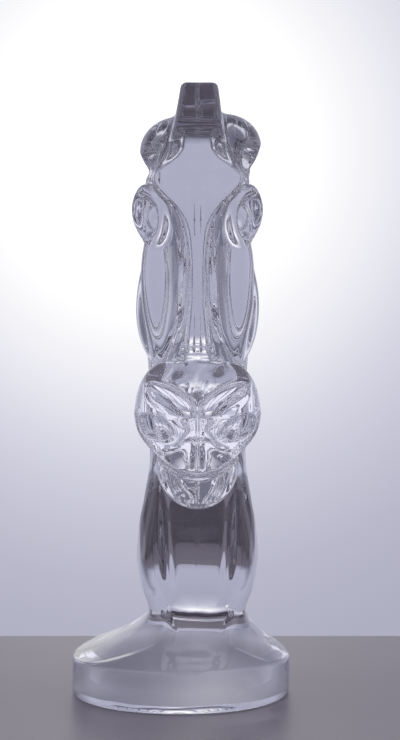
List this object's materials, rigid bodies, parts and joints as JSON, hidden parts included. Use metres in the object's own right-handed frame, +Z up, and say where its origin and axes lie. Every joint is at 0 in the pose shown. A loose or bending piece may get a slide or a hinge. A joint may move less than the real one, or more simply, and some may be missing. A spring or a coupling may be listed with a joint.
{
  "type": "crystal horse head sculpture",
  "caption": "Solid clear crystal horse head with laid-back ears and a roached mane, cast in one piece with its neck and flared foot.",
  "frame": {"origin": "centre of the foot's flat underside", "axes": "+Z up, -Y towards the horse's muzzle, +X to the viewer's right when seen from the front"},
  "size_m": [0.091, 0.1831, 0.2526],
  "materials": {
    "crystal": "fire-polished clear lead crystal"
  },
  "bodies": {
    "root": {"horse_head": "crystal"}
  },
  "joints": []
}
